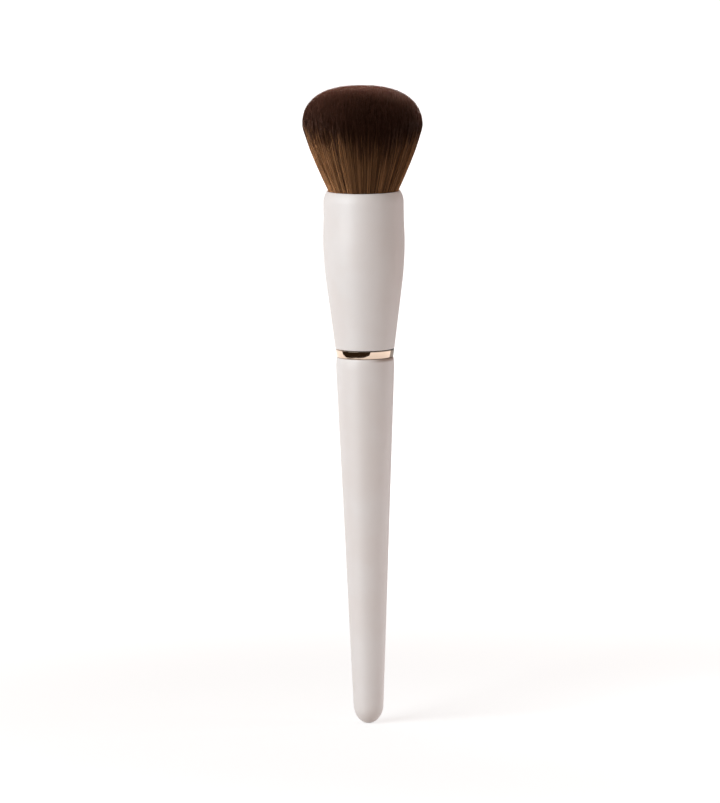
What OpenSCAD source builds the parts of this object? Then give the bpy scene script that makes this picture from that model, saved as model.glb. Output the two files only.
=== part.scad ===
// Foundation brush: a domed tuft in a flared ferrule, an accent ring and a tapered handle.
// The brush stands along +Z with its tuft up. The origin is the tip of the handle's rounded end.

/* [Handle] */
// Length of the handle that shows, from its rounded end to the accent ring
handle_l = 101.2; // [80:0.1:130]
// Radius of the handle where its rounded end begins
handle_end_r = 4.1; // [3:0.1:6]
// Length of the rounded end
handle_end_l = 5.2; // [3:0.1:8]
// Radius of the handle just under its shoulder
handle_top_r = 7.95; // [7.6:0.05:9]
// Length of the eased shoulder under the accent ring
shoulder_l = 3; // [0.8:0.1:4]
// How far the shoulder draws in
shoulder_in = 0.3; // [0.1:0.05:0.45]
// Radius of the tenon that the ring and the ferrule sit on
tenon_r = 6.8; // [5.5:0.05:6.9]
// Length of the tenon inside the ferrule
tenon_l = 16; // [10:0.5:17]
// Chamfer on the tenon's end
tenon_chamfer = 0.8; // [0.3:0.1:1.2]
// Number of glue grooves turned in the tenon
groove_n = 3; // [1:1:4]
// Width of a glue groove
groove_w = 1.2; // [0.8:0.1:1.6]
// Depth of a glue groove
groove_d = 0.5; // [0.3:0.05:0.8]

/* [Accent ring] */
// Height of the accent ring
ring_h = 2.4; // [1.5:0.1:5]
// Radius of the ring's upper edge
ring_r = 8.02; // [7.6:0.01:8.1]
// Bevel on the ring's two outer edges
ring_bevel = 0.22; // [0.1:0.02:0.35]

/* [Ferrule] */
// Length of the ferrule
ferrule_l = 43.2; // [40:0.1:60]
// Radius of the ferrule's foot
foot_r = 8.05; // [7.9:0.05:8.6]
// Half angle of the ferrule's lower cone, in degrees
taper = 7.4; // [6.5:0.1:7.6]
// Radius of the bend between the cone and the belly
blend_r = 100; // [30:1:110]
// Largest radius of the ferrule, at its belly
belly_r = 11.15; // [10.9:0.01:11.4]
// Radius of the ferrule's collar, drawn in above the belly
collar_r = 10.97; // [10.6:0.01:11.3]
// Length of the upright collar, up to where the lip begins to turn in
collar_l = 4.5; // [2:0.1:6]
// Radius of the lip's inward bend
lip_bend_r = 5.5; // [3:0.1:7]
// Angle that the lip turns through, in degrees
lip_turn = 33; // [20:1:45]
// Wall of the ferrule
wall = 0.45; // [0.3:0.05:0.6]
// Radius of the hole in the turned-in foot
foot_hole_r = 7.1; // [7:0.05:7.3]
// Thickness of the turned-in foot
foot_t = 0.6; // [0.4:0.05:1]
// Rounding of the foot's outer edge
foot_round = 0.3; // [0.1:0.05:0.4]

/* [Knot] */
// Radius of the tuft at its glued root
knot_r = 8.7; // [7.5:0.05:9]
// Height of the knot's floor above the ferrule's foot
knot_up = 19; // [18.9:0.1:20]
// Thickness of the knot's glued root
knot_t = 6; // [4:0.1:7]
// Thickness of the resin under the knot
resin_floor_t = 1.5; // [0.8:0.1:1.8]
// Diameter of the binding thread
thread_d = 0.6; // [0.3:0.05:0.9]
// Turns of the binding thread
thread_turns = 4; // [2:1:6]
// Height gained by a turn, as a share of the thread's diameter
thread_pitch_share = 0.9; // [0.8:0.02:0.95]

/* [Tuft] */
// Height of the tuft above the ferrule's mouth
tuft_h = 29; // [24:0.1:36]
// Largest radius of the tuft
tuft_r = 16.5; // [13:0.1:18]
// Height of the widest place above the mouth
widest_h = 17.8; // [15:0.1:21]
// How early the tuft flares, where 1 is a straight cone
flare = 1.22; // [1:0.02:1.8]
// Fullness of the dome, where 2 is an ellipse
fullness = 2.4; // [2:0.05:3]
// Rings of strands round the middle strand
rings = 10; // [10:1:11]
// Strands that each ring gains on the one inside it
ring_gain = 5.5; // [5.4:0.1:6]
// Last ring of the tuft's core
core_rings = 4; // [2:1:5]
// Last ring of the tuft's middle
middle_rings = 7; // [6:1:8]
// Share of its cell that a strand fills
fill_share = 0.84; // [0.6:0.01:0.84]
// Height of a strand's tip above its shoulder
tip_l = 1.3; // [0.6:0.1:3]
// Most that a tip stands below the dome
tip_stray = 0.5; // [0:0.05:1]
// Height of the outer ring's bend, as a share of the height of the widest place
bend_share = 0.5; // [0.3:0.05:0.7]

/* [Fits] */
// Clearance where one piece is set in or on another
fit = 0.05; // [0.02:0.01:0.1]
// Clearance between the ring's bore and the tenon
ring_fit = 0.1; // [0.05:0.01:0.2]
// Clearance between the tuft and the ferrule's lip
lip_gap = 0.1; // [0.05:0.01:0.3]

/* [Hidden] */
$fn = 96;

ivory = [0.90, 0.88, 0.85];
champagne = [0.88, 0.74, 0.62];
amber = [0.80, 0.62, 0.35];
linen = [0.82, 0.76, 0.66];
dark_brown = [0.20, 0.12, 0.09];
mid_brown = [0.36, 0.23, 0.15];
light_brown = [0.55, 0.38, 0.25];

// Points along a rounded edge, and along a long gentle bend
edge_steps = 12;
bend_steps = 16;
// Facets round a slice of the knot, which no fit depends on
slice_facets = 24;
// Seed of the tips' stray lengths
stray_seed = 11;

// Heights along the brush
ring_z = handle_l;
ferrule_z = ring_z + ring_h;
mouth_z = ferrule_z + ferrule_l;
knot_z = ferrule_z + knot_up;
knot_top_z = knot_z + knot_t;
neck_l = mouth_z - knot_top_z;

// The ferrule's lower cone meets the long bend, whose upper end is upright at the belly
blend_z = blend_r * sin(taper) + (belly_r - blend_r * (1 - cos(taper)) - foot_r) / tan(taper);
cone_l = blend_z - blend_r * sin(taper);

// The lip's bend starts upright at the collar and ends in a rolled edge
edge_r = wall / 2;
lip_x = collar_r - lip_bend_r;
lip_z = ferrule_l - edge_r - (lip_bend_r - edge_r) * sin(lip_turn);
edge_x = lip_x + (lip_bend_r - edge_r) * cos(lip_turn);
mouth_r = edge_x - edge_r;

// The tuft's radius where it leaves the mouth, and the width of a ring as a share of the tuft
waist_r = mouth_r - lip_gap;
ring_share = 1 / (rings + 1 / 2);

// Inner radius of the ferrule at a height above its foot, up to the belly
function bore_r(z) = z < cone_l ? foot_r + z * tan(taper) - wall / cos(taper)
    : belly_r - blend_r + sqrt(pow(blend_r - wall, 2) - pow(blend_z - z, 2));

// Points of the ferrule's outline, moved in by the depth t: cone, belly, collar and lip
function ferrule_line(t) = concat(
    [for (i = [0 : bend_steps]) let (a = taper * (1 - i / bend_steps))
        [belly_r - blend_r + (blend_r - t) * cos(a), blend_z - (blend_r - t) * sin(a)]],
    [[collar_r - t, lip_z - collar_l]],
    [for (i = [0 : edge_steps]) let (a = lip_turn * i / edge_steps)
        [lip_x + (lip_bend_r - t) * cos(a), lip_z + (lip_bend_r - t) * sin(a)]]);

function backward(points) = [for (i = [len(points) - 1 : -1 : 0]) points[i]];

// The handle's end is an ellipse that runs into the straight taper without a corner
handle_slope = (handle_top_r - handle_end_r) / (handle_l - shoulder_l - handle_end_l);
end_turn = atan(handle_end_r / (handle_end_l * handle_slope));

function handle_outline() = concat(
    [for (i = [0 : bend_steps]) let (a = end_turn * i / bend_steps)
        [handle_end_r * sin(a), handle_end_l * (1 - cos(a))]],
    [for (i = [0 : edge_steps]) let (a = 90 * i / edge_steps)
        [handle_top_r - shoulder_in * (1 - cos(a)), handle_l - shoulder_l * (1 - sin(a))]],
    [[tenon_r, handle_l],
     [tenon_r, ferrule_z + tenon_l - tenon_chamfer],
     [tenon_r - tenon_chamfer, ferrule_z + tenon_l],
     [0, ferrule_z + tenon_l]]);

// Grooves in the tenon, evenly spaced inside the ferrule, made smaller all round by the margin
module glue_grooves(margin) {
    groove_gap = (tenon_l - foot_t) / (groove_n + 1);
    for (i = [1 : groove_n])
        translate([0, 0, ferrule_z + foot_t + i * groove_gap])
            rotate_extrude()
                translate([tenon_r - groove_d + margin, margin - groove_w / 2])
                    square([groove_d + fit, groove_w - 2 * margin]);
}

module handle() {
    color(ivory)
        difference() {
            rotate_extrude()
                polygon(handle_outline());
            glue_grooves(0);
        }
}

// Cured glue: a wedge between the straight tenon and the flaring ferrule, keyed into the grooves
module handle_glue() {
    glue_z = foot_t + fit;
    glue_top = tenon_l - tenon_chamfer;
    color(amber) {
        rotate_extrude()
            polygon([[tenon_r + fit, ferrule_z + glue_z],
                     [bore_r(glue_z) - fit, ferrule_z + glue_z],
                     [bore_r(glue_top) - fit, ferrule_z + glue_top],
                     [tenon_r + fit, ferrule_z + glue_top]]);
        glue_grooves(fit);
    }
}

// Polished ring that carries the ferrule's taper down to the handle
module accent_ring() {
    ring_foot_r = ring_r - ring_h * tan(taper);
    bore = tenon_r + ring_fit;
    color(champagne)
        translate([0, 0, ring_z])
            rotate_extrude()
                polygon([[bore, 0],
                         [ring_foot_r - ring_bevel, 0],
                         [ring_foot_r, ring_bevel],
                         [ring_r, ring_h - ring_bevel],
                         [ring_r - ring_bevel, ring_h],
                         [bore, ring_h]]);
}

// Drawn shell: turned-in foot, cone, belly, collar and rolled lip
module ferrule() {
    foot_edge = [for (i = [0 : edge_steps]) let (a = 90 * i / edge_steps - 90)
        [foot_r - foot_round + foot_round * cos(a), foot_round + foot_round * sin(a)]];
    rolled_edge = [for (i = [1 : edge_steps - 1]) let (a = lip_turn + 180 * i / edge_steps)
        [edge_x + edge_r * cos(a), ferrule_l - edge_r + edge_r * sin(a)]];
    color(ivory)
        translate([0, 0, ferrule_z])
            rotate_extrude()
                polygon(concat([[foot_hole_r, 0]],
                               foot_edge,
                               ferrule_line(0),
                               rolled_edge,
                               backward(ferrule_line(wall)),
                               [[bore_r(foot_t), foot_t], [foot_hole_r, foot_t]]));
}

// Resin poured round the knot and over its floor, up to the ferrule's wall
module root_resin() {
    resin_z = knot_up - resin_floor_t;
    knot_top = knot_up + knot_t;
    color(amber)
        translate([0, 0, ferrule_z])
            rotate_extrude()
                polygon([[0, resin_z],
                         [bore_r(resin_z) - fit, resin_z],
                         [bore_r(knot_up) - fit, knot_up],
                         [bore_r(knot_top) - fit, knot_top],
                         [slice_r(rings) + fit, knot_top],
                         [slice_r(rings) + fit, knot_up],
                         [0, knot_up]]);
}

// Turns of waxed thread that bind the strands just above the knot
module binding_thread() {
    color(linen)
        translate([0, 0, knot_top_z + fit + thread_d / 2])
            rotate_extrude()
                for (i = [0 : thread_turns - 1])
                    translate([knot_r + fit + thread_d / 2, i * thread_d * thread_pitch_share])
                        circle(d = thread_d, $fn = 32);
}

// Strands in a ring, and strands in all the rings inside it
function ring_count(k) = k == 0 ? 1 : round(ring_gain * k);
function strands_before(k) = k == 0 ? 0 : strands_before(k - 1) + ring_count(k - 1);
strand_total = strands_before(rings + 1);
strays = rands(0, tip_stray, strand_total, stray_seed);

// The tuft's radius at a height above the mouth, and the dome's height at a share of that radius
function spread_r(h) = h >= widest_h ? tuft_r
    : waist_r + (tuft_r - waist_r) * (1 - pow(1 - h / widest_h, flare));
function dome_h(share) = widest_h
    + (tuft_h - widest_h) * pow(1 - pow(share, fullness), 1 / fullness);

// How far a strand stands below the dome: the first strand of a ring is as long as it allows
function stray(k, j) = j == 0 ? 0 : strays[strands_before(k) + j];

// Heights above the knot and spreads of a strand's straight sections, from its root upwards
function strand_levels(k) = concat(
    [[-knot_t / 2, knot_r], [0, knot_r], [neck_l + lip_gap, waist_r]],
    k == rings ? [[neck_l + bend_share * widest_h, spread_r(bend_share * widest_h)]] : []);

// Corners of a strand's cell, as shares of the spread and angles: every ring turns by half a step
function cell_corners(k, j) = k == 0
    ? [for (a = [45 : 90 : 315]) [fill_share * ring_share / 2, a]]
    : let (step = 360 / ring_count(k), a = (j + k / 2) * step, half = fill_share * step / 2,
           low = (k - fill_share / 2) * ring_share, high = (k + fill_share / 2) * ring_share)
        [[low, a - half], [high, a - half], [high, a + half], [low, a + half]];

// A point at a share of the spread, an angle and a height above the knot
function strand_point(share, spread, a, h) = [share * spread * cos(a), share * spread * sin(a), h];

// One strand: four corners carried up from the root to a shoulder cut parallel to the dome,
// and drawn to a tip on it
module strand(k, j) {
    levels = strand_levels(k);
    corners = cell_corners(k, j);
    top = len(levels);
    tip_share = k * ring_share;
    sections = [for (level = levels, c = corners)
        strand_point(c[0], level[1], c[1], level[0])];
    shoulder = [for (c = corners) let (h = dome_h(c[0]) - stray(k, j) - tip_l)
        strand_point(c[0], spread_r(h), c[1], neck_l + h)];
    tip = strand_point(tip_share, tuft_r, (j + k / 2) * 360 / ring_count(k),
                       neck_l + dome_h(tip_share) - stray(k, j));
    sides = [for (l = [0 : top - 1], i = [0 : 3]) let (a = 4 * l + i, b = 4 * l + (i + 1) % 4)
        each [[a, a + 4, b + 4], [a, b + 4, b]]];
    tip_faces = [for (i = [0 : 3]) [4 * top + i, 4 * top + 4, 4 * top + (i + 1) % 4]];
    polyhedron(concat(sections, shoulder, [tip]),
               concat([[0, 1, 2], [0, 2, 3]], sides, tip_faces));
}

// Corner radius of the faceted wall that runs just outside a ring of the knot
function slice_r(k) = (k + 1 / 2) * ring_share * knot_r / cos(180 / slice_facets);

// The strands of rings first to last, on a slice of the knot that reaches from ring to ring
module tuft_zone(first, last) {
    translate([0, 0, knot_top_z])
        resize([0, 0, knot_t + neck_l + dome_h(first * ring_share)])
            union() {
                difference() {
                    translate([0, 0, -knot_t])
                        cylinder(h = knot_t, r = slice_r(last), $fn = slice_facets);
                    if (first > 0)
                        cylinder(h = 3 * knot_t, r = slice_r(first - 1), center = true,
                                 $fn = slice_facets);
                }
                for (k = [first : last], j = [0 : ring_count(k) - 1])
                    strand(k, j);
            }
}

module bristles_core() {
    color(dark_brown)
        tuft_zone(0, core_rings);
}

module bristles_middle() {
    color(mid_brown)
        tuft_zone(core_rings + 1, middle_rings);
}

module bristles_outer() {
    color(light_brown)
        tuft_zone(middle_rings + 1, rings);
}

handle();
handle_glue();
accent_ring();
ferrule();
root_resin();
binding_thread();
bristles_core();
bristles_middle();
bristles_outer();
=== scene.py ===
import math

import bpy
import numpy as np
from bpy.props import FloatProperty, FloatVectorProperty, IntProperty, PointerProperty
from mathutils import Matrix, Vector


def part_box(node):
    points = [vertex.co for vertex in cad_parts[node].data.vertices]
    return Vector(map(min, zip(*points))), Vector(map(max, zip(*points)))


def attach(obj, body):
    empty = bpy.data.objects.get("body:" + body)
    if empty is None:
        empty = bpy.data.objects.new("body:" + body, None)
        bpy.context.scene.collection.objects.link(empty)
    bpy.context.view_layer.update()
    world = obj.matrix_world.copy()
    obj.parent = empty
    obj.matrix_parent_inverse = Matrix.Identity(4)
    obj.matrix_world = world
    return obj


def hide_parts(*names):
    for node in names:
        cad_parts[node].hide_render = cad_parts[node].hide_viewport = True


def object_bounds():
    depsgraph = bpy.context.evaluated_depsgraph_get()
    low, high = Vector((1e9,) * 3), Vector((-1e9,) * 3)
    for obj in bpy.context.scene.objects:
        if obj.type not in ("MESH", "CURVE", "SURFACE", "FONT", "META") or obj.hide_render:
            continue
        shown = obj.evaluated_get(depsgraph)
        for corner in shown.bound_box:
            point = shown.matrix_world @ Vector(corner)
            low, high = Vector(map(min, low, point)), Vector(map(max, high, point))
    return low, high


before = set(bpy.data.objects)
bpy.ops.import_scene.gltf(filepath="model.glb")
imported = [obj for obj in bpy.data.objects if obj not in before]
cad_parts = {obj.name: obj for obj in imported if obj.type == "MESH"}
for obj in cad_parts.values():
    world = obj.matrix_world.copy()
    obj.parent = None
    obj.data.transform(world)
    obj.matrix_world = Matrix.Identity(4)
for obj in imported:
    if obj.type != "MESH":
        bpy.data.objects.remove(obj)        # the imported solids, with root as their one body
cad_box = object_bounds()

bl_info = {
    "name": "Foundation brush",
    "version": (1, 0, 0),
    "blender": (4, 5, 0),
    "location": "3D View > Sidebar > Brush",
    "description": "Builds a domed foundation brush round its packed solids, on a studio stage",
    "category": "Object",
}

BODY = "root"
MAP = "OFBake"
MM = 0.001

RING_LOW, RING_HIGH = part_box("accent_ring")
FERRULE_LOW, FERRULE_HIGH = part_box("ferrule")
TUFT_LOW, TUFT_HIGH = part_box("bristles_core")
HANDLE_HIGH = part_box("handle")[1]

AROUND = 160                     # steps round a turned piece
TONES = 96                       # columns of the strands' map, from dark to light
MOUTH_MARK, TIP_MARK = 0.1, 0.9  # where the mouth and the dome's top lie up that map
LOCKS_A_RING = 7.0               # locks that each further ring of them adds
WISP_RINGS, WISPS_A_RADIAN = 80, 52     # the finer grid of the wisps
LOCK_DEPTH = 0.25 * MM           # how far the shortest lock stays below the dome
ROOT_DEPTH = 0.4 * MM            # how deep the strands stand in the glued root
ROOT_SPREAD = (0.0012, 0.004)    # scatter of the roots: share of the radius, and angle
DYE_TURN = 207                   # angle round the axis where the dye starts highest


# ---- Sizes and colours that a user would change


def length(name, description, default):
    """A size in metres."""
    return FloatProperty(name=name, description=description, default=default, min=0.0,
                         precision=5, unit="LENGTH", subtype="DISTANCE")


def share(name, description, default, high=1.0):
    """A number without a unit."""
    return FloatProperty(name=name, description=description, default=default, min=0.0,
                         max=high, subtype="FACTOR")


def degrees(name, description, default):
    """An angle, given in degrees and stored in radians."""
    return FloatProperty(name=name, description=description, default=math.radians(default),
                         subtype="ANGLE")


def colour(name, description, default):
    """A linear colour."""
    return FloatVectorProperty(name=name, description=description, default=default, size=3,
                               min=0.0, max=1.0, subtype="COLOR")


class HandleSizes(bpy.types.PropertyGroup):
    """The tapered handle and its tenon"""
    end_radius: length("End radius", "Radius where the rounded end begins", 4.1 * MM)
    end_length: length("End length", "Length of the rounded end", 5.2 * MM)
    top_radius: length("Top radius", "Radius just under the shoulder", 7.95 * MM)
    shoulder_length: length("Shoulder length", "Length of the eased shoulder", 3 * MM)
    shoulder_in: length("Shoulder depth", "How far the shoulder draws in", 0.3 * MM)
    tenon_radius: length("Tenon radius", "Radius of the tenon in the ferrule", 6.8 * MM)
    tenon_chamfer: length("Tenon chamfer", "Chamfer on the tenon's end", 0.8 * MM)
    groove_count: IntProperty(name="Glue grooves", description="Grooves turned in the tenon",
                              default=3, min=0, max=6)
    groove_width: length("Groove width", "Width of a glue groove", 1.2 * MM)
    groove_depth: length("Groove depth", "Depth of a glue groove", 0.5 * MM)
    lacquer: colour("Lacquer", "Main colour of the satin lacquer", (0.818, 0.772, 0.752))
    lacquer_warm: colour("Warm lacquer", "Tone that the lacquer drifts to",
                         (0.797, 0.736, 0.708))


class RingSizes(bpy.types.PropertyGroup):
    """The polished accent ring"""
    foot_radius: length("Foot radius", "Radius of the ring's lower edge", 7.71 * MM)
    top_radius: length("Top radius", "Radius of the ring's upper edge", RING_HIGH.x)
    bore_radius: length("Bore radius", "Radius of the bore round the tenon", 6.9 * MM)
    bevel: length("Bevel", "Bevel on the ring's outer edges", 0.22 * MM)
    barrel: length("Barrel", "How far the ring's wall swells outwards", 0.03 * MM)
    metal: colour("Metal", "Colour of the champagne metal", (0.72, 0.56, 0.445))


class FerruleSizes(bpy.types.PropertyGroup):
    """The flared ferrule"""
    foot_radius: length("Foot radius", "Radius of the foot", 8.05 * MM)
    taper: degrees("Taper", "Half angle of the lower cone", 7.4)
    blend_radius: length("Blend radius", "Radius of the bend under the belly", 100 * MM)
    belly_radius: length("Belly radius", "Largest radius", FERRULE_HIGH.x)
    collar_radius: length("Collar radius", "Radius where the lip begins", 10.97 * MM)
    collar_length: length("Collar length", "Length of the upright collar", 4.5 * MM)
    lip_bend: length("Lip bend", "Radius of the lip's inward bend", 5.5 * MM)
    lip_turn: degrees("Lip turn", "Angle that the lip turns through", 33)
    wall: length("Wall", "Wall thickness", 0.45 * MM)
    foot_hole: length("Foot hole", "Radius of the hole in the foot", 7.1 * MM)
    foot_thickness: length("Foot thickness", "Thickness of the foot", 0.6 * MM)
    foot_round: length("Foot rounding", "Rounding of the foot's outer edge", 0.3 * MM)
    enamel: colour("Enamel", "Main colour of the satin enamel", (0.818, 0.772, 0.752))
    enamel_warm: colour("Warm enamel", "Tone that the enamel drifts to",
                        (0.797, 0.736, 0.708))


class TuftSizes(bpy.types.PropertyGroup):
    """The domed tuft of tapered fibres"""
    knot_radius: length("Knot radius", "Radius of the glued root", 8.7 * MM)
    knot_thickness: length("Knot thickness", "Thickness of the glued root", 6 * MM)
    waist_radius: length("Waist radius", "Radius in the ferrule's mouth", 9.6 * MM)
    largest_radius: length("Largest radius", "Radius at the widest place", 16.5 * MM)
    widest_height: length("Widest height", "Height of the widest place above the mouth",
                          17.8 * MM)
    flare: share("Flare", "How early the tuft flares, where 1 is a straight cone", 1.22, 3.0)
    fullness: share("Fullness", "Fullness of the dome, where 2 is an ellipse", 2.4, 4.0)
    strand_count: IntProperty(name="Strands", description="Strands in the whole tuft",
                              default=40000, min=1000, max=60000)
    strand_radius: length("Strand radius", "Radius of a strand below its taper", 0.062 * MM)
    taper_length: length("Taper length", "Length over which a strand thins to its tip",
                         3.2 * MM)
    stray: length("Stray", "How far below the dome the shorter strands stay", 0.55 * MM)
    gather: share("Gather", "How far strands draw together into locks", 0.34)
    lock_rings: IntProperty(name="Lock rings", description="Rings of locks from the middle "
                            "outwards", default=40, min=4, max=60)
    dark_height: length("Dark height", "Height above the mouth where the dark tips begin",
                        12.9 * MM)
    dye_sway: length("Dye sway", "How far the dye's border rises and falls round the tuft",
                     1.5 * MM)
    lean: length("Lean", "How far the tuft's top leans to the left", 0.22 * MM)
    turn: degrees("Turn", "Turn of the locks about the brush's axis", 154)
    root_light: colour("Light fibre", "Lightest strands near the mouth", (0.305, 0.149, 0.066))
    root_deep: colour("Deep fibre", "Darkest strands near the mouth", (0.027, 0.0120, 0.0044))
    tip_dark: colour("Dark tips", "Dyed upper part of the strands", (0.0235, 0.0090, 0.0050))
    # The fine tips' colour comes partly from the thinner ends and partly from a painted rim light
    # of backlight through them.
    thin_tips_and_rim_light: colour("Fine tips", "Thinnest ends of the strands", (0.080, 0.026, 0.0125))


class StageSizes(bpy.types.PropertyGroup):
    """Camera, lights and floor"""
    lens: FloatProperty(name="Lens", description="Focal length in millimetres", default=400.0,
                        min=20.0, subtype="NONE")
    frame_height: length("Frame height", "Height of the view at the brush", 219.5 * MM)
    elevation: degrees("Elevation", "How far the camera looks down", 7.0)
    roll: degrees("Roll", "Turn of the camera about its view", -0.58)
    aim_x: FloatProperty(name="Aim right", description="How far right of the brush the "
                         "camera aims", default=-1.5 * MM, unit="LENGTH", precision=5)
    aim_z: FloatProperty(name="Aim up", description="How far above the brush's middle the "
                         "camera aims", default=1.0 * MM, unit="LENGTH", precision=5)
    ambient: share("Ambient", "Light from all round", 0.24, 2.0)
    key: share("Key light", "Level of the softbox on the left", 1.12, 5.0)
    top: share("Top light", "Level of the light above and behind", 0.10, 5.0)
    kicker: share("Right light", "Level of the light low on the right", 0.35, 5.0)
    rim: share("Rim light", "Level of the warm light behind on the right", 0.20, 5.0)
    tuft_side: share("Tuft side light", "Level of the tuft's own light on the left", 3.1, 9.0)
    tuft_back: share("Tuft back light", "Level of the tuft's own light behind", 2.3, 9.0)
    tuft_right: share("Tuft right light", "Level of the tuft's own light on the right", 0.9, 9.0)
    floor: colour("Floor", "Colour of the pale floor", (0.64, 0.575, 0.54))


# ---- Shader maths


class Value:
    """An output socket. Arithmetic on it adds Math nodes, so finishes read as expressions."""

    def __init__(self, finish, socket):
        self.finish = finish
        self.socket = socket

    def __add__(self, other):
        return self.finish.math("ADD", self, other)

    __radd__ = __add__

    def __sub__(self, other):
        return self.finish.math("SUBTRACT", self, other)

    def __rsub__(self, other):
        return self.finish.math("SUBTRACT", other, self)

    def __mul__(self, other):
        return self.finish.math("MULTIPLY", self, other)

    __rmul__ = __mul__

    def __truediv__(self, other):
        return self.finish.math("DIVIDE", self, other)

    def __abs__(self):
        return self.finish.math("ABSOLUTE", self)

    def floor(self):
        return self.finish.math("FLOOR", self)

    def most(self, other):
        return self.finish.math("MAXIMUM", self, other)

    def ramp(self, low, high):
        """0 below low, 1 above high, eased between them. low and high may vary."""
        return self.finish.node("ShaderNodeMapRange", {"interpolation_type": "SMOOTHSTEP"},
                                {"Value": self, "From Min": low, "From Max": high})


class Finish:
    """A node tree that is being written, for a material or for the world."""

    def __init__(self, owner):
        owner.use_nodes = True
        self.owner = owner
        self.tree = owner.node_tree
        self.tree.nodes.clear()

    def node(self, kind, settings=None, values=None, output=0):
        """Adds a node: its settings first, then its sockets' values or links."""
        made = self.tree.nodes.new(kind)
        for name, setting in (settings or {}).items():
            setattr(made, name, setting)
        for name, value in (values or {}).items():
            if isinstance(value, Value):
                self.tree.links.new(value.socket, made.inputs[name])
            else:
                made.inputs[name].default_value = value
        return Value(self, made.outputs[output]) if len(made.outputs) else None

    def math(self, operation, *numbers):
        return self.node("ShaderNodeMath", {"operation": operation}, dict(enumerate(numbers)))

    def object_place(self):
        return self.node("ShaderNodeTexCoord", output="Object")

    def parts(self, vector):
        """The three numbers of a vector."""
        split = self.node("ShaderNodeSeparateXYZ", values={0: vector}).socket.node
        return [Value(self, socket) for socket in split.outputs]

    def stretched(self, vector, scale):
        return self.node("ShaderNodeMapping", values={"Vector": vector, "Scale": scale})

    def noise(self, vector, scale, detail=2.0, roughness=0.5):
        """Soft noise from 0 to 1, with as many lumps to a metre as scale says."""
        return self.node("ShaderNodeTexNoise", values={
            "Vector": vector, "Scale": scale, "Detail": detail, "Roughness": roughness})

    def mixed(self, amount, first, second):
        """A colour between two others."""
        opaque = [c if isinstance(c, Value) else (*c, 1.0) for c in (first, second)]
        return self.node("ShaderNodeMix", {"data_type": "RGBA"},
                         {0: amount, 6: opaque[0], 7: opaque[1]}, output=2)

    def bumped(self, height, depth, strength):
        return self.node("ShaderNodeBump", values={
            "Height": height, "Distance": depth, "Strength": strength})

    def surface(self, **sockets):
        """The Principled shader. Underscores in the names stand for spaces."""
        values = {}
        for name, value in sockets.items():
            is_colour = isinstance(value, (tuple, list)) and len(value) == 3
            values[name.replace("_", " ")] = (*value, 1.0) if is_colour else value
        shader = self.node("ShaderNodeBsdfPrincipled", values=values)
        self.node("ShaderNodeOutputMaterial", values={"Surface": shader})
        return self.owner


def finish(name):
    return Finish(bpy.data.materials.new(name))


def near(height, place, reach):
    """1 at a height on the object, easing to 0 within reach of it."""
    return 1 - abs(height - place).ramp(reach * 0.2, reach)


def satin(name, main, warm, edges, shade_under=None):
    """Sprayed satin lacquer: slow drifts of tone, fine orange peel, pigment specks, handling
    marks along the length, rubbed edges at the given heights, and at the height shade_under a
    thin band of painted shade, darker towards +X, that stands for the shadow under the ring."""
    f = finish(name)
    place = f.object_place()
    side, _, height = f.parts(place)
    drift = f.noise(place, 70.0, 3.0).ramp(0.35, 0.65)
    rubs = f.noise(f.stretched(place, (1.0, 1.0, 0.12)), 900.0, 4.0, 0.6)
    specks = f.noise(place, 5200.0, 1.0).ramp(0.72, 0.80)
    worn = 0
    for edge, reach in edges:
        worn = near(height, edge, reach) + worn
    worn = worn * f.noise(place, 700.0, 3.0).ramp(0.35, 0.7)
    tone = f.mixed(drift, tuple(main), tuple(warm))
    tone = f.mixed(specks * 0.10, tone, tuple(c * 0.72 for c in warm))
    tone = f.mixed(worn * 0.30, tone, tuple(c * 0.90 for c in warm))
    if shade_under is not None:
        # Painted shade: a dark band just under the ring, stronger towards +X, in place of the
        # ring's shadow on the shoulder.
        painted_shade = near(height, shade_under, 1.1 * MM) * side.ramp(0.5 * MM, 6 * MM)
        tone = f.mixed(painted_shade, tone, (0.33, 0.22, 0.17))
    peel = f.noise(place, 1500.0, 2.0, 0.45) + f.noise(place, 260.0, 1.0) * 1.5
    return f.surface(
        Base_Color=tone,
        Roughness=0.44 + rubs * 0.10 - worn * 0.10,
        Normal=f.bumped(peel + rubs * 0.25, 0.006 * MM, 0.5),
        Coat_Weight=0.28,
        Coat_Roughness=0.30,
    )


def polished_metal(name, metal, seam_shades):
    """Turned and polished metal: fine lines run round it, with faint smudges, and painted shade
    in the fine seams at the given heights: dark lines for the contact shadow and dark reflection
    there, fainter on the lit -X side."""
    f = finish(name)
    place = f.object_place()
    side, _, height = f.parts(place)
    # How much painted shade the seams get: only a fifth at the far -X edge, on the lit side, and
    # all of it elsewhere.
    shaded_side = side.ramp(-7.3 * MM, -4.5 * MM) * 0.8 + 0.2
    lines = f.noise(f.stretched(place, (0.02, 0.02, 1.0)), 14000.0, 3.0, 0.7)
    smudge = f.noise(place, 420.0, 3.0).ramp(0.4, 0.75)
    tone = f.mixed(smudge * 0.25, tuple(metal), tuple(c * 0.90 for c in metal))
    # Painted shade: near each seam the metal darkens to a tenth of its colour.
    for seam, reach, amount in seam_shades:
        tone = f.mixed(near(height, seam, reach) * shaded_side * amount, tone,
                       tuple(c * 0.10 for c in metal))
    return f.surface(
        Base_Color=tone,
        Metallic=1.0,
        Roughness=0.03 + lines * 0.04 + smudge * 0.04,
        Normal=f.bumped(lines, 0.0006 * MM, 0.35),
    )


def drawn_metal(name):
    """Bare inner wall of a drawn shell, with die lines up its length."""
    f = finish(name)
    place = f.object_place()
    lines = f.noise(f.stretched(place, (1.0, 1.0, 0.02)), 6000.0, 3.0, 0.6)
    return f.surface(
        Base_Color=f.mixed(lines, (0.62, 0.61, 0.60), (0.74, 0.73, 0.71)),
        Metallic=1.0,
        Roughness=0.30 + lines * 0.18,
        Normal=f.bumped(lines, 0.002 * MM, 0.5),
    )


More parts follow.
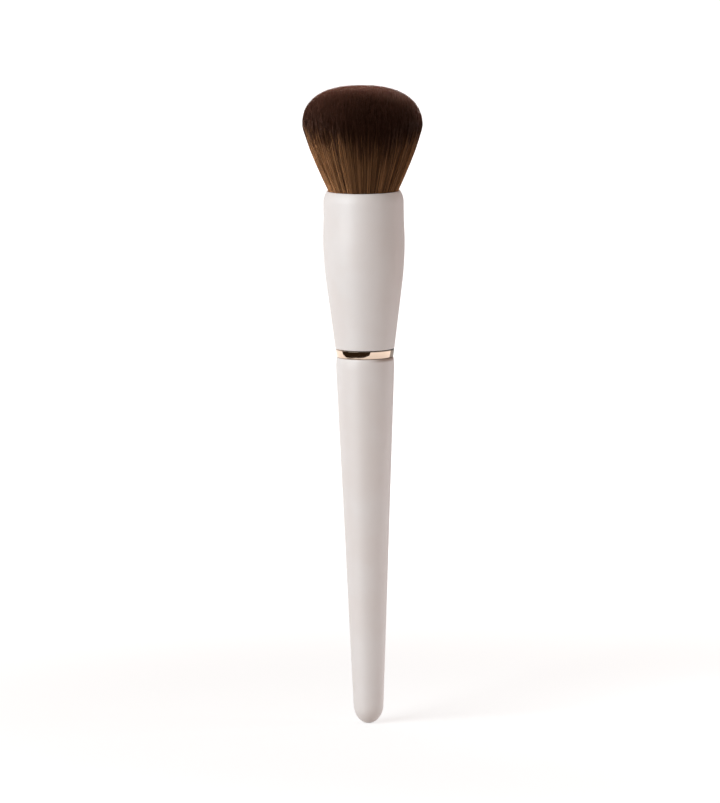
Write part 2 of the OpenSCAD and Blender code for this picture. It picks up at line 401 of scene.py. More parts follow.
def bare_wood(name):
    """Turned birch: long grain with short dark pores, and rings across the end."""
    f = finish(name)
    place = f.object_place()
    grain = f.noise(f.stretched(place, (1.0, 0.6, 0.06)), 900.0, 5.0, 0.6)
    pores = f.noise(f.stretched(place, (1.0, 1.0, 0.10)), 5000.0, 1.0).ramp(0.66, 0.76)
    tone = f.mixed(grain.ramp(0.35, 0.65), (0.62, 0.45, 0.28), (0.74, 0.58, 0.39))
    return f.surface(
        Base_Color=f.mixed(pores * 0.5, tone, (0.33, 0.20, 0.11)),
        Roughness=0.58 + grain * 0.16,
        Normal=f.bumped(grain - pores * 0.6, 0.03 * MM, 0.6),
    )


def set_glue(name, thin, thick):
    """Cured glue or resin: cloudy amber with small trapped bubbles and a wavy skin."""
    f = finish(name)
    place = f.object_place()
    cloud = f.noise(place, 420.0, 3.0)
    bubbles = f.node("ShaderNodeTexVoronoi", values={"Vector": place, "Scale": 1900.0})
    bubble = 1 - bubbles.ramp(0.10, 0.20)
    return f.surface(
        Base_Color=f.mixed(bubble * 0.5, f.mixed(cloud.ramp(0.35, 0.65), thin, thick),
                           (0.86, 0.74, 0.50)),
        Roughness=0.16 + cloud * 0.18 + bubble * 0.2,
        Normal=f.bumped(cloud + bubble * 0.2, 0.05 * MM, 0.5),
    )


def waxed_thread(name):
    """Twisted two-ply thread under wax: slanting plies and loose fluff."""
    f = finish(name)
    place = f.object_place()
    x, y, z = f.parts(place)
    turn = f.math("ARCTAN2", y, x)
    ply = f.math("SINE", turn * 62.0 + z * 9000.0) * 0.5 + 0.5
    fluff = f.noise(place, 9000.0, 3.0, 0.7)
    tone = f.mixed(ply, (0.42, 0.34, 0.24), (0.74, 0.66, 0.52))
    return f.surface(
        Base_Color=f.mixed(fluff * 0.35, tone, (0.84, 0.79, 0.68)),
        Roughness=0.42 + fluff * 0.25,
        Normal=f.bumped(ply + fluff * 0.4, 0.05 * MM, 0.7),
    )


def glued_fibres(name, light, deep):
    """The root plug: packed fibre ends seen across, and streaks up its side."""
    f = finish(name)
    place = f.object_place()
    ends = f.node("ShaderNodeTexVoronoi", values={
        "Vector": f.stretched(place, (1.0, 1.0, 0.02)), "Scale": 7200.0})
    streaks = f.noise(f.stretched(place, (1.0, 1.0, 0.03)), 3600.0, 2.0)
    tone = f.mixed(streaks, tuple(deep), tuple(c * 0.6 for c in light))
    return f.surface(
        Base_Color=f.mixed(ends.ramp(0.25, 0.6) * 0.7, tone, tuple(c * 0.4 for c in deep)),
        Roughness=0.22 + streaks * 0.2,
        Normal=f.bumped(1 - ends, 0.05 * MM, 0.6),
    )


def dyed_fibre(name, tuft, dome_height):
    """Two-tone fibre, read from the strands' own map. Across the map the strands go from deep
    to light, and up it from the root to the tip. Each column of the map has its own height
    where the dark dye begins, so the border is ragged. The finest ends turn lighter and redder:
    partly from their thinness, partly as a painted backlit rim along the dome."""
    f = finish(name)
    across, up, _ = f.parts(f.node("ShaderNodeUVMap", {"uv_map": MAP}))
    chance = f.node("ShaderNodeTexWhiteNoise", {"noise_dimensions": "1D"},
                    {"W": (across * TONES).floor() * 0.37})
    height = (up - MOUTH_MARK) / (TIP_MARK - MOUTH_MARK)
    border = tuft.dark_height / dome_height + (chance - 0.5) * 0.28
    dark = height.ramp(border - 0.10, border + 0.12)
    light = across.ramp(0.12, 0.95)
    fibre = f.mixed(light, tuple(tuft.root_deep), tuple(tuft.root_light))
    dyed = f.mixed(light * 0.6, tuple(tuft.tip_dark), tuple(c * 1.8 for c in tuft.tip_dark))
    tone = f.mixed(dark, fibre, dyed)
    # Partly painted rim light: the last stretch of every strand turns to the lighter, redder
    # fine-tip colour.
    tone = f.mixed(up.ramp(0.93, 1.0), tone, tuple(tuft.thin_tips_and_rim_light))
    return f.surface(
        Base_Color=tone,
        Roughness=0.50 - light * 0.14 + dark * 0.08,
        Specular_IOR_Level=0.04,
        Specular_Tint=(1.0, 0.66, 0.46),
        Sheen_Weight=0.06,
        Sheen_Roughness=0.45,
        Sheen_Tint=(0.90, 0.36, 0.26),
    )


# ---- Surfaces


def arc(centre, radii, start, end, steps):
    """Points of an elliptical arc: centre + (a cos t, b sin t) with t from start to end."""
    t = np.linspace(start, end, steps)
    return np.stack([centre[0] + radii[0] * np.cos(t), centre[1] + radii[1] * np.sin(t)], 1)


def eased(points, cut, steps=5):
    """A closed outline with softened corners. Each corner P becomes a quadratic curve from
    the point at the distance cut before it to the one after it, with P as its control point,
    and one more point on each side keeps the shading of the flats."""
    points = np.asarray(points, float)
    before, after = np.roll(points, 1, 0) - points, np.roll(points, -1, 0) - points
    before /= np.linalg.norm(before, axis=1, keepdims=True)
    after /= np.linalg.norm(after, axis=1, keepdims=True)
    t = np.linspace(0, 1, steps)[None, :, None]
    start, end = (points + cut * before)[:, None], (points + cut * after)[:, None]
    curve = (1 - t) ** 2 * start + 2 * t * (1 - t) * points[:, None] + t ** 2 * end
    first = (points + 1.5 * cut * before)[:, None]
    last = (points + 1.5 * cut * after)[:, None]
    return np.concatenate([first, curve, last], 1).reshape(-1, 2)


def spaced(points, longest):
    """The line through the points, with each stretch longer than longest cut evenly."""
    points = np.asarray(points, float)
    steps = points[1:] - points[:-1]
    counts = np.maximum(np.ceil(np.linalg.norm(steps, axis=1) / longest), 1).astype(int)
    stretch = np.repeat(np.arange(len(counts)), counts)
    along = np.arange(len(stretch)) - (np.cumsum(counts) - counts)[stretch]
    inner = points[stretch] + steps[stretch] * (along / counts[stretch])[:, None]
    return np.concatenate([inner, points[-1:]])


def mesh_piece(name, places, faces, corner_maps, materials, slots=None):
    """Puts arrays into a mesh object that rides on the brush: places is (n, 3), faces a list
    of index arrays with one width each, and corner_maps each face corner's place on the map."""
    mesh = bpy.data.meshes.new(name)
    corners = np.concatenate([f.ravel() for f in faces]).astype(np.int32)
    widths = np.concatenate([np.full(len(f), f.shape[1]) for f in faces])
    mesh.vertices.add(len(places))
    mesh.vertices.foreach_set("co", places.astype(np.float32).ravel())
    mesh.loops.add(len(corners))
    mesh.loops.foreach_set("vertex_index", corners)
    mesh.polygons.add(len(widths))
    mesh.polygons.foreach_set("loop_start", (np.cumsum(widths) - widths).astype(np.int32))
    mesh.polygons.foreach_set("use_smooth", np.ones(len(widths), bool))
    if slots is not None:
        mesh.polygons.foreach_set("material_index", slots.astype(np.int32))
    layer = mesh.uv_layers.new(name=MAP)
    layer.uv.foreach_set("vector", np.concatenate(
        [m.reshape(-1, 2) for m in corner_maps]).astype(np.float32).ravel())
    mesh.update(calc_edges=True)
    if mesh.validate():
        raise RuntimeError(f"the surface of {name} has faces that Blender can't use")
    for material in materials:
        mesh.materials.append(material)
    piece = bpy.data.objects.new(name, mesh)
    bpy.context.scene.collection.objects.link(piece)
    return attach(piece, BODY)


def turned(name, outline, materials, closed=False, second=None):
    """A surface of revolution. The point at the outline's place j and step i round the axis
    is (r_j cos a, r_j sin a, z_j) with a = 2 pi i / steps. An open outline starts and ends on
    the axis, where a ring becomes one point. A closed one goes up outside and down inside.
    On the map, u goes round and v along the outline. second(r, z) picks the outline's
    stretches that get the second material."""
    outline = np.asarray(outline, float)
    rows = outline if closed else outline[1:-1]
    count, steps = len(rows), AROUND
    turn = np.arange(steps) * 2 * np.pi / steps
    places = np.stack([rows[:, :1] * np.cos(turn), rows[:, :1] * np.sin(turn),
                       np.repeat(rows[:, 1:], steps, 1)], 2).reshape(-1, 3)
    looped = np.concatenate([outline, outline[:1]]) if closed else outline
    run = np.concatenate([[0], np.cumsum(np.linalg.norm(np.diff(looped, axis=0), axis=1))])
    run /= run[-1]
    first, after = np.arange(steps), (np.arange(steps) + 1) % steps
    j = np.arange(count if closed else count - 1)[:, None]
    above = (j + 1) % count
    quads = np.stack([j * steps + first, j * steps + after,
                      above * steps + after, above * steps + first], 2).reshape(-1, 4)
    left, right = np.arange(steps) / steps, (np.arange(steps) + 1) / steps
    v = run if closed else run[1:-1]
    low, high = v[:len(j), None] + 0 * left, v[1:len(j) + 1, None] + 0 * left
    across = [left + 0 * low, right + 0 * low, right + 0 * low, left + 0 * low]
    quad_map = np.stack([np.stack(across, 2), np.stack([low, low, high, high], 2)], 3)
    middles = (looped[:-1] + looped[1:]) / 2
    kinds = np.zeros(len(middles)) if second is None else second(middles[:, 0], middles[:, 1])
    kinds = kinds.astype(int)
    if closed:
        faces, maps, slots = [quads], [quad_map], np.repeat(kinds, steps)
    else:
        bottom, top = len(places), len(places) + 1
        places = np.concatenate([places, [[0, 0, outline[0, 1]], [0, 0, outline[-1, 1]]]])
        last = (count - 1) * steps
        fans = [np.stack([np.full(steps, bottom), after, first], 1),
                np.stack([last + first, last + after, np.full(steps, top)], 1)]
        middle = (left + right) / 2
        zero, one = np.zeros(steps), np.ones(steps)
        low, high = zero + v[0], zero + v[-1]
        fan_maps = [np.stack([np.stack([middle, right, left], 1),
                              np.stack([zero, low, low], 1)], 2),
                    np.stack([np.stack([left, right, middle], 1),
                              np.stack([high, high, one], 1)], 2)]
        faces, maps = [quads, *fans], [quad_map, *fan_maps]
        slots = np.concatenate([np.repeat(kinds[1:-1], steps), np.repeat(kinds[[0, -1]], steps)])
    piece = mesh_piece(name, places, faces, maps, materials, slots)
    piece.data.set_sharp_from_angle(angle=math.radians(35))
    return piece


def tuft_radius(tuft, height):
    """The waist's radius plus the rest times 1 - (1 - height / widest) ** flare, and the
    largest radius above the widest place."""
    climb = np.clip(height / tuft.widest_height, 0, 1)
    return tuft.waist_radius + (tuft.largest_radius - tuft.waist_radius) * (
        1 - (1 - climb) ** tuft.flare)


def tuft_dome(tuft, dome_height, shares):
    """Height of the dome at a share of the radius: a superellipse on the widest place."""
    rise = (1 - np.clip(shares, 0, 1) ** tuft.fullness) ** (1 / tuft.fullness)
    return tuft.widest_height + (dome_height - tuft.widest_height) * rise


def lot(first, second, rates, size):
    """A fixed number from 0 to 1 for each pair: size * sin(first * rate + second * rate),
    less the whole number under it."""
    drawn = np.sin(first * rates[0] + second * rates[1]) * size
    return drawn - np.floor(drawn)


def fibre_lines(tuft, spots, levels, dome_height, rng):
    """The middle lines of the fibres. spots is (n, 2): each root's share of the radius and its
    angle. A line keeps its share of the tuft's radius at every height, draws towards the
    middle of its lock as it climbs, waves a little, and ends on the dome. levels are shares of
    its height above the mouth, before its tip. Returns the lines' points, their heights, and
    the lots of each fibre's lock and wisp."""
    n = len(spots)
    part, angle = spots[:, :1], spots[:, 1:]
    ring = np.floor(part * tuft.lock_rings)
    across = np.maximum(np.round(ring * LOCKS_A_RING), 1)
    sector = np.floor(angle / (2 * np.pi) * across)
    lock_part = (ring + 0.5) / tuft.lock_rings
    luck = lot(ring, sector, (12.9898, 78.233), 43758.5453)
    lock_angle = (sector + 0.15 + 0.7 * luck) / across * 2 * np.pi
    wisp = lot(np.floor(part * WISP_RINGS), np.floor(angle * WISPS_A_RADIAN),
               (7.13, 3.77), 24634.6345)
    reach = tuft_dome(tuft, dome_height, part)
    reach = reach - tuft.stray * rng.random((n, 1)) ** 2.5 - LOCK_DEPTH * luck
    reach += tuft.lean * 1.5 * part * np.maximum(-np.cos(angle + tuft.turn), 0)
    taper = 1 - tuft.taper_length / reach
    inner = np.array(levels)[None] * taper
    height = np.concatenate([inner, taper + 0.5 * (1 - taper), reach * 0 + 1], 1) * reach
    climb = height / dome_height
    pull = tuft.gather * (0.3 + 1.4 * wisp) * climb ** 0.8
    way = part + pull * (lock_part - part)
    wild = rng.random((n, 1)) ** 6
    way = way * (1 + 0.020 * wild * climb ** 2)
    wave = np.sin(climb * 2 * np.pi * (0.8 + rng.random((n, 1))) + rng.random((n, 1)) * 6.283)
    bend = angle + pull * (lock_angle - angle) + 0.016 * wave * climb / np.maximum(part, 0.1)
    bend += (luck - 0.5) * 0.08 * climb + (wisp - 0.5) * 0.07 * climb
    radius = way * (tuft_radius(tuft, height) - tuft.strand_radius)
    knot_top = TUFT_LOW.z + tuft.knot_thickness
    roots = np.stack([part * (tuft.knot_radius - 2 * tuft.strand_radius), angle,
                      np.full((n, 1), knot_top - ROOT_DEPTH)], 2)
    mouth = np.stack([part * (tuft.waist_radius - tuft.strand_radius), angle,
                      np.full((n, 1), FERRULE_HIGH.z)], 2)
    free = np.stack([radius, bend, height + FERRULE_HIGH.z], 2)
    away, facing, up = np.moveaxis(np.concatenate([roots, mouth, free], 1), 2, 0)
    points = np.stack([away * np.cos(facing + tuft.turn), away * np.sin(facing + tuft.turn),
                       up], 2)
    points[:, 2:, 0] -= tuft.lean * climb ** 2
    return points, up, luck, wisp


def strands(name, tuft, spots, levels, material, rng):
    """Three-sided fibres round their middle lines, which thin to a point on the dome. On the
    map, u is the fibre's tone, the same all along it, and v goes from its root to its tip."""
    n = len(spots)
    dome_height = TUFT_HIGH.z - FERRULE_HIGH.z
    centre, up, luck, wisp = fibre_lines(tuft, spots, levels, dome_height, rng)
    rows = centre.shape[1]
    thick = tuft.strand_radius * (0.8 + 0.4 * rng.random((n, 1, 1)))
    thin = np.ones(rows)
    thin[-2] = 0.72
    side = rng.random((n, 1, 1)) * 2 * np.pi + np.arange(3)[None, None] * 2 * np.pi / 3
    ring_x = centre[:, :-1, None, 0] + thick * thin[:-1, None] * np.cos(side)
    ring_y = centre[:, :-1, None, 1] + thick * thin[:-1, None] * np.sin(side)
    ring_z = np.repeat(centre[:, :-1, None, 2], 3, 2)
    shell = np.stack([ring_x, ring_y, ring_z], 3).reshape(n, -1, 3)
    places = np.concatenate([shell, centre[:, -1:]], 1)
    each = places.shape[1]
    start = np.arange(n)[:, None, None] * each
    low = np.arange(rows - 2)[None, :, None] * 3 + start
    k, after = np.arange(3)[None, None], (np.arange(3)[None, None] + 1) % 3
    quads = np.stack([low + k, low + after, low + 3 + after, low + 3 + k], 3).reshape(-1, 4)
    base = np.arange(n)[:, None] * each
    edge = base + 3 * (rows - 2)
    tips = np.stack([edge + k[0], edge + after[0], base + each - 1 + 0 * k[0]],
                    2).reshape(-1, 3)
    ends = base + np.array([[0, 2, 1]])
    tone = np.clip(0.22 * luck + 0.32 * wisp + 0.46 * rng.random((n, 1)), 0, 0.999)
    column = np.floor(tone * TONES)
    left, right = (column + 0.2) / TONES, (column + 0.8) / TONES
    v = MOUTH_MARK + (TIP_MARK - MOUTH_MARK) * (up - FERRULE_HIGH.z) / dome_height
    sway = tuft.dye_sway / dome_height * np.cos(
        2 * (spots[:, 1:] + tuft.turn - math.radians(DYE_TURN)))
    v -= sway * 4 * np.clip(v, 0, 1) * (1 - np.clip(v, 0, 1))
    v[:, 0], v[:, -1] = 0.0, 1.0
    v_low = np.repeat(v[:, :-2, None], 3, 2)
    v_high = np.repeat(v[:, 1:-1, None], 3, 2)
    u_left, u_right = left[:, :, None] + 0 * v_low, right[:, :, None] + 0 * v_low
    quad_map = np.stack([np.stack([u_left, u_right, u_right, u_left], 3),
                         np.stack([v_low, v_low, v_high, v_high], 3)], 4)
    v_edge = np.repeat(v[:, -2:-1], 3, 1)
    tip_map = np.stack([np.stack([left + 0 * v_edge, right + 0 * v_edge,
                                  (left + right) / 2 + 0 * v_edge], 2),
                        np.stack([v_edge, v_edge, 0 * v_edge + 1], 2)], 3)
    end_map = np.stack([np.concatenate([left, right, (left + right) / 2], 1),
                        np.tile([[0.0, 0.0, 0.02]], (n, 1))], 2)
    return mesh_piece(name, places.reshape(-1, 3), [quads, tips, ends],
                      [quad_map, tip_map, end_map], [material])


# ---- Operators


class MakeHandle(bpy.types.Operator):
    """Turn the tapered handle with its tenon, and lacquer it"""
    bl_idname = "brush.make_handle"
    bl_label = "Handle"
    bl_options = {"REGISTER", "UNDO"}

    def execute(self, context):
        s = context.scene.brush_handle
        top = RING_LOW.z
        end = HANDLE_HIGH.z
        slope = (s.top_radius - s.end_radius) / (top - s.shoulder_length - s.end_length)
        turn = math.atan(s.end_radius / (s.end_length * slope))
        low_end = arc((0, s.end_length), (s.end_radius, s.end_length),
                      -math.pi / 2, turn - math.pi / 2, 28)
        shoulder = arc((s.top_radius - s.shoulder_in, top - s.shoulder_length),
                       (s.shoulder_in, s.shoulder_length), 0, math.pi / 2, 18)
        start = RING_HIGH.z + 0.6 * MM      # where the tenon leaves the ferrule's foot
        gap = (end - start) / (s.groove_count + 1)
        r, half, deep = s.tenon_radius, s.groove_width / 2, s.groove_depth
        middles = start + gap * np.arange(1, s.groove_count + 1)[:, None]
        grooves = np.stack([np.tile([r, r - deep, r - deep, r], (s.groove_count, 1)),
                            middles + np.array([[-half, -half, half, half]])], 2)
        tenon = np.concatenate([[[r, top]], grooves.reshape(-1, 2),
                                [[r, end - s.tenon_chamfer], [r - s.tenon_chamfer, end],
                                 [0, end]]])
        outline = spaced(np.concatenate([low_end, shoulder, tenon]), 0.9 * MM)
        bare = s.tenon_radius + 0.1 * MM
        # The lacquer gets a band of painted shade just under the ring.
        lacquer = satin("handle_lacquer", s.lacquer, s.lacquer_warm,
                        [(top, 0.5 * MM), (0.0, 0.9 * MM)], shade_under=top)
        piece = turned("turned_handle", outline, [lacquer, bare_wood("bare_birch")],
                       second=lambda r, z: (z >= top - 0.01 * MM) & (r < bare))
        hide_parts("handle")
        return {"FINISHED"}


class MakeRing(bpy.types.Operator):
    """Turn the accent ring, with soft bevels and a slightly swelling wall, and polish it"""
    bl_idname = "brush.make_ring"
    bl_label = "Accent ring"
    bl_options = {"REGISTER", "UNDO"}

    def execute(self, context):
        s = context.scene.brush_ring
        low, high = RING_LOW.z, RING_HIGH.z
        t = np.linspace(0, 1, 25)[1:-1]
        start = np.array([s.foot_radius, low + s.bevel])
        end = np.array([s.top_radius, high - s.bevel])
        wall = start + (end - start) * t[:, None]
        wall[:, 0] += s.barrel * 4 * t * (1 - t)
        corners = eased([[s.bore_radius, low], [s.foot_radius - s.bevel, low], start, end,
                         [s.top_radius - s.bevel, high], [s.bore_radius, high]],
                        0.06 * MM, 6)
        per = len(corners) // 6
        outline = np.concatenate([corners[:3 * per], wall[2:-2], corners[3 * per:]])
        # Painted shade lines at the ring's top seam under the ferrule and at its foot over the
        # handle.
        metal = polished_metal("champagne_metal", s.metal,
                               [(high, 0.54 * MM, 1.0), (low, 0.30 * MM, 0.55)])
        piece = turned("polished_ring", outline, [metal], closed=True)
        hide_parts("accent_ring")
        return {"FINISHED"}


class MakeFerrule(bpy.types.Operator):
    """Spin the flared ferrule from foot to rolled lip, enamel it outside, leave it bare inside"""
    bl_idname = "brush.make_ferrule"
    bl_label = "Ferrule"
    bl_options = {"REGISTER", "UNDO"}

    def execute(self, context):
        s = context.scene.brush_ferrule
        tall = FERRULE_HIGH.z - FERRULE_LOW.z
        blend_z = s.blend_radius * math.sin(s.taper) + (
            s.belly_radius - s.blend_radius * (1 - math.cos(s.taper)) - s.foot_radius
        ) / math.tan(s.taper)
        edge = s.wall / 2
        lip = (s.collar_radius - s.lip_bend,
               tall - edge - (s.lip_bend - edge) * math.sin(s.lip_turn))
        edge_x = lip[0] + (s.lip_bend - edge) * math.cos(s.lip_turn)

        def line(depth):
            """The outline from the cone's top to the lip, moved in by a depth."""
            bend = [s.blend_radius - depth] * 2
            turn = [s.lip_bend - depth] * 2
            return np.concatenate([
                arc((s.belly_radius - s.blend_radius, blend_z), bend, -s.taper, 0, 40),
                [[s.collar_radius - depth, lip[1] - s.collar_length]],
                arc(lip, turn, 0, s.lip_turn, 24)])

        inner_foot = s.foot_radius + s.foot_thickness * math.tan(s.taper) - (
            s.wall / math.cos(s.taper))
        foot = arc((s.foot_radius - s.foot_round, s.foot_round), [s.foot_round] * 2,
                   -math.pi / 2, -s.taper, 12)
        foot[:, 0] += s.foot_radius + s.foot_round * math.tan(s.taper) - foot[-1, 0]
        roll = arc((edge_x, tall - edge), [edge] * 2, s.lip_turn, s.lip_turn + math.pi, 14)
        outline = np.concatenate([[[s.foot_hole, 0]], foot, line(0), roll[1:-1],
                                  line(s.wall)[::-1],
                                  [[inner_foot, s.foot_thickness],
                                   [s.foot_hole, s.foot_thickness], [s.foot_hole, 0]]])
        outline = spaced(outline, 0.7 * MM)[:-1] + np.array([0, FERRULE_LOW.z])
        reach = s.foot_radius - s.wall * 1.2

        def inside(r, z):
            """Behind the middle of the wall, at any height."""
            height = z - FERRULE_LOW.z
            skin = np.interp(height, *line(edge)[:, ::-1].T)
            cone = s.foot_radius + height * math.tan(s.taper) - edge / math.cos(s.taper)
            hidden = r < np.where(height < blend_z - s.blend_radius * math.sin(s.taper),
                                  cone, skin)
            return hidden & (height < tall - 2 * s.wall) & ((height > 0.01 * MM) | (r < reach))

        enamel = satin("ferrule_enamel", s.enamel, s.enamel_warm,
                       [(FERRULE_LOW.z, 0.5 * MM), (FERRULE_HIGH.z, 0.5 * MM)])
        piece = turned("flared_ferrule", outline, [enamel, drawn_metal("bare_inner_wall")],
                       closed=True, second=inside)
        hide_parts("ferrule")
        return {"FINISHED"}


class MakeTuft(bpy.types.Operator):
    """Grow the domed tuft: a glued root, and the core, middle and outer strands"""
    bl_idname = "brush.make_tuft"
    bl_label = "Tuft"
    bl_options = {"REGISTER", "UNDO"}

    # Piece, the solid that it stands for, last share of the radius and levels up its strands
    ZONES = [
        ("tuft_core", "bristles_core", 0.4286, (0.6,)),
        ("tuft_middle_a", "bristles_middle", 0.588, (0.4, 0.75)),
        ("tuft_middle_b", "bristles_middle", 0.7143, (0.4, 0.75)),
        ("tuft_outer_a", "bristles_outer", 0.796, (0.25, 0.5, 0.75)),
        ("tuft_outer_b", "bristles_outer", 0.870, (0.25, 0.5, 0.75)),
        ("tuft_outer_c", "bristles_outer", 0.938, (0.25, 0.5, 0.75)),
        ("tuft_outer_d", "bristles_outer", 1.0, (0.25, 0.5, 0.75)),
    ]

    def execute(self, context):
        s = context.scene.brush_tuft
        rng = np.random.default_rng(7)
        fibre = dyed_fibre("dyed_fibre", s, TUFT_HIGH.z - FERRULE_HIGH.z)
        golden = math.pi * (3 - math.sqrt(5))
        index = np.arange(s.strand_count)
        spots = np.stack([np.sqrt((index + 0.5) / s.strand_count), index * golden], 1)
        spots += rng.normal(0, 1, spots.shape) * ROOT_SPREAD
        spots[:, 0] = np.clip(spots[:, 0], 0.003, 0.9995)
        spots[:, 1] %= 2 * math.pi
        first = 0.0
        for name, node, last, levels in self.ZONES:
            chosen = (spots[:, 0] >= first) & (spots[:, 0] < last)
            piece = strands(name, s, spots[chosen], levels, fibre, rng)
            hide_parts(node)
            first = last
        low, high = TUFT_LOW.z, TUFT_LOW.z + s.knot_thickness
        r, cut = s.knot_radius, 0.15 * MM
        plug = spaced([[0, low], [r - cut, low], [r, low + cut], [r, high - cut],
                       [r - cut, high], [0, high]], 0.5 * MM)
        root = turned("glued_root", plug,
                      [glued_fibres("glued_fibres", s.root_light, s.root_deep)])
        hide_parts("bristles_core", "bristles_middle", "bristles_outer")
        return {"FINISHED"}


class DressInside(bpy.types.Operator):
    """Give the solids inside the ferrule their finishes: glue, resin and thread"""
    bl_idname = "brush.dress_inside"
    bl_label = "Glue, resin and thread"
    bl_options = {"REGISTER", "UNDO"}

    def execute(self, context):
        finishes = {
            "handle_glue": set_glue("cured_glue", (0.66, 0.47, 0.22), (0.50, 0.32, 0.12)),
            "root_resin": set_glue("poured_resin", (0.58, 0.36, 0.13), (0.38, 0.20, 0.06)),
            "binding_thread": waxed_thread("waxed_thread"),
        }
        for node, material in finishes.items():
            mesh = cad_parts[node].data
            mesh.materials.clear()
            mesh.materials.append(material)
        return {"FINISHED"}


class MakeStage(bpy.types.Operator):
    """Set the camera, the lights, the white surroundings, the floor and two cards"""
    bl_idname = "brush.make_stage"
    bl_label = "Stage"
    bl_options = {"REGISTER", "UNDO"}

    def execute(self, context):
        scene, s = context.scene, context.scene.brush_stage
        middle = (cad_box[0] + cad_box[1]) / 2
        foot, head = Vector((0, 0, 10 * MM)), Vector((0, 0, TUFT_HIGH.z - 15 * MM))
        self.place_camera(scene, s, middle)
        # Each lamp's name, level, aim, azimuth, elevation, distance, size and tint
        self.light("key_softbox", s.key, middle, -50, 18, 0.75, (0.55, 0.90),
                   (0.88, 0.96, 1.0))
        self.light("top_light", s.top, middle, 172, 62, 0.70, (0.40, 0.30), (1.0, 0.97, 0.95))
        unseen_in_polish = [
            self.light("right_light", s.kicker, foot, 88, 8, 0.16, (0.08, 0.06),
                       (0.86, 0.94, 1.0)),
            self.light("rim_light", s.rim, middle, 125, 8, 0.75, (0.30, 0.90),
                       (1.0, 0.76, 0.74)),
        ]
        for_the_tuft = [
            self.light("tuft_side_light", s.tuft_side, head, -108, 5, 0.50, (0.08, 0.08),
                       (1.0, 0.97, 0.92)),
            self.light("tuft_right_light", s.tuft_right, head, 110, 5, 0.50, (0.08, 0.08),
                       (1.0, 0.97, 0.92)),
            self.light("tuft_back_light", s.tuft_back, head, 164, 17, 0.50, (0.20, 0.08),
                       (1.0, 0.77, 0.68)),
        ]
        tuft = bpy.data.collections.new("tuft_lit")
        for name, *_ in MakeTuft.ZONES:
            tuft.objects.link(bpy.data.objects[name])
        for lamp in unseen_in_polish:
            lamp.visible_glossy = False
        for lamp in for_the_tuft:
            lamp.light_linking.receiver_collection = tuft
        self.surround(scene, s)
        self.lay_floor(s)
        self.lay_cards()
        scene.view_settings.view_transform = "Standard"
        return {"FINISHED"}

    def place_camera(self, scene, s, middle):
        """The camera looks along +Y and down, from where the frame has its height."""
        data = bpy.data.cameras.new("camera")
        data.lens, data.sensor_width = s.lens, 36.0
        far = s.frame_height * s.lens / data.sensor_width
        aim = middle + Vector((s.aim_x, 0, s.aim_z))
        back = Vector((0, -math.cos(s.elevation), math.sin(s.elevation)))
        camera = bpy.data.objects.new("camera", data)
        turn = (-back).to_track_quat("-Z", "Y").to_matrix().to_4x4()
        camera.matrix_world = (Matrix.Translation(aim + back * far) @ turn
                               @ Matrix.Rotation(s.roll, 4, "Z"))
        data.clip_start, data.clip_end = far / 50, far * 50
        scene.collection.objects.link(camera)
        scene.camera = camera

    def light(self, name, level, middle, azimuth, elevation, far, size, tint):
        """A softbox. Azimuth 0 is the camera's side and negative is its left. A level of 1
        would show a surface that faces it in its own colour."""
        data = bpy.data.lights.new(name, "AREA")
        data.shape, data.size, data.size_y = "RECTANGLE", *size
        data.energy, data.color = level * (math.pi * far) ** 2, tint
        a, e = math.radians(azimuth), math.radians(elevation)
        out = Vector((math.sin(a) * math.cos(e), -math.cos(a) * math.cos(e), math.sin(e)))
        lamp = bpy.data.objects.new(name, data)
        lamp.matrix_world = (Matrix.Translation(middle + out * far)
                             @ out.to_track_quat("Z", "Y").to_matrix().to_4x4())
        lamp.visible_camera = False
        bpy.context.scene.collection.objects.link(lamp)
        return lamp

    def seen(self, f):
        """1 for what the camera sees, and for what metal and glass show of it."""
        path = f.node("ShaderNodeLightPath").socket.node
        camera, glossy, through = [Value(f, path.outputs[n]) for n in (
            "Is Camera Ray", "Is Glossy Ray", "Is Transmission Ray")]
        return camera.most(glossy).most(through)

    def surround(self, scene, s):
        world = bpy.data.worlds.new("white_surroundings")
        scene.world = world
        f = Finish(world)
        seen = self.seen(f)
        tone = f.mixed(seen, (1.0, 0.75, 0.62), (1.0, 1.0, 1.0))
        sky = f.node("ShaderNodeBackground", values={
            "Color": tone, "Strength": s.ambient + (1 - s.ambient) * seen})
        f.node("ShaderNodeOutputWorld", values={"Surface": sky})

    def stage_mesh(self, name, corners, material):
        mesh = bpy.data.meshes.new(name)
        mesh.from_pydata(corners, [], [list(range(len(corners)))])
        mesh.materials.append(material)
        thing = bpy.data.objects.new(name, mesh)
        bpy.context.scene.collection.objects.link(thing)
        return thing

    def lay_floor(self, s):
        """A pale floor. It glows a little for the camera, so that it comes out white and
        still keeps the shadow."""
        f = finish("pale_floor")
        seen = self.seen(f)
        matt = f.node("ShaderNodeBsdfDiffuse", values={
            "Color": f.mixed(seen, tuple(s.floor), (0.5, 0.5, 0.5))})
        x, y, _ = f.parts(f.object_place())
        far = f.math("SQRT", x * x + y * y).ramp(0.08, 0.45)
        glow = f.node("ShaderNodeEmission", values={
            "Strength": seen * (0.67 + far * 0.50)})
        both = f.node("ShaderNodeAddShader", values={0: matt, 1: glow})
        f.node("ShaderNodeOutputMaterial", values={"Surface": both})
        t = np.linspace(0, 2 * math.pi, 97)[:-1]
        disc = np.stack([4 * np.cos(t), 4 * np.sin(t), 0 * t], 1)
        self.stage_mesh("floor", disc.tolist(), f.owner)

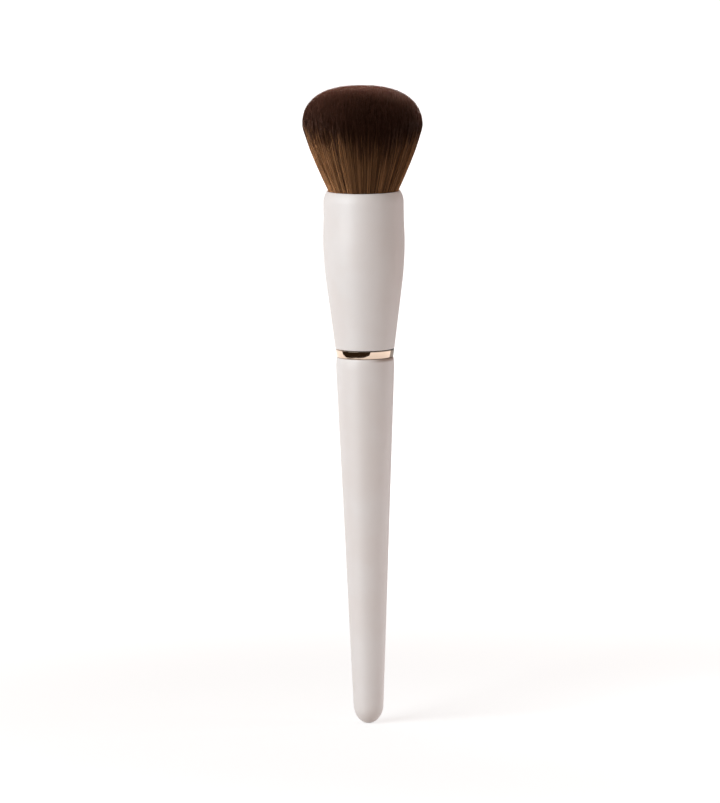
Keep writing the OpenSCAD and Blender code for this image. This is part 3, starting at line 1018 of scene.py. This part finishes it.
    def lay_cards(self):
        """Two cards that only polish and lacquer show: a dark one low in front on the left,
        and a grey one that rises behind on the right. Each has its shade, the heights of its
        nearest and farthest corners, and its corners as azimuths and distances."""
        cards = {
            "black_card": ((0.030, 0.018, 0.009), (0.0005, 0.0005), [
                (-107, 3.5), (-50, 3.5), (-10, 3.5), (16, 3.5), (38, 3.5), (28, 0.45),
                (22, 0.33), (18, 0.235), (0, 0.20), (-40, 0.20), (-80, 0.225), (-101, 0.33)]),
            "grey_card": ((0.41, 0.41, 0.41), (0.001, 1.5), [
                (122, 0.15), (190, 0.15), (190, 3.5), (122, 3.5)]),
        }
        for name, (shade, heights, corners) in cards.items():
            f = finish(name)
            glow = f.node("ShaderNodeEmission", values={"Color": (*shade, 1.0)})
            f.node("ShaderNodeOutputMaterial", values={"Surface": glow})
            azimuth, far = np.array(corners).T
            a, up = np.radians(azimuth), np.interp(far, [far.min(), far.max()], heights)
            places = np.stack([far * np.sin(a), -far * np.cos(a), up], 1)
            card = self.stage_mesh(name, places.tolist(), f.owner)
            card.visible_camera = card.visible_diffuse = card.visible_shadow = False


class BrushPanel(bpy.types.Panel):
    """Lists the brush's pieces, with their sizes and colours"""
    bl_idname = "BRUSH_PT_pieces"
    bl_label = "Foundation brush"
    bl_space_type = "VIEW_3D"
    bl_region_type = "UI"
    bl_category = "Brush"

    def draw(self, context):
        for operator, settings in STEPS:
            box = self.layout.box()
            box.operator(operator.bl_idname)
            if settings:
                group = getattr(context.scene, settings)
                for name in group.bl_rna.properties.keys():
                    if name not in ("rna_type", "name"):
                        box.prop(group, name)


GROUPS = {"brush_handle": HandleSizes, "brush_ring": RingSizes, "brush_ferrule": FerruleSizes,
          "brush_tuft": TuftSizes, "brush_stage": StageSizes}
STEPS = [(MakeHandle, "brush_handle"), (MakeRing, "brush_ring"), (MakeFerrule, "brush_ferrule"),
         (MakeTuft, "brush_tuft"), (DressInside, None), (MakeStage, "brush_stage")]


def register():
    for group in GROUPS.values():
        bpy.utils.register_class(group)
    for operator, _ in STEPS:
        bpy.utils.register_class(operator)
    bpy.utils.register_class(BrushPanel)
    for name, group in GROUPS.items():
        setattr(bpy.types.Scene, name, PointerProperty(type=group))


def unregister():
    for name in GROUPS:
        delattr(bpy.types.Scene, name)
    bpy.utils.unregister_class(BrushPanel)
    for operator, _ in reversed(STEPS):
        bpy.utils.unregister_class(operator)
    for group in reversed(GROUPS.values()):
        bpy.utils.unregister_class(group)


def main():
    register()
    for operator, _ in STEPS:
        area, name = operator.bl_idname.split(".")
        getattr(getattr(bpy.ops, area), name)()
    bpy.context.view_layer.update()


if __name__ == "__main__":
    main()
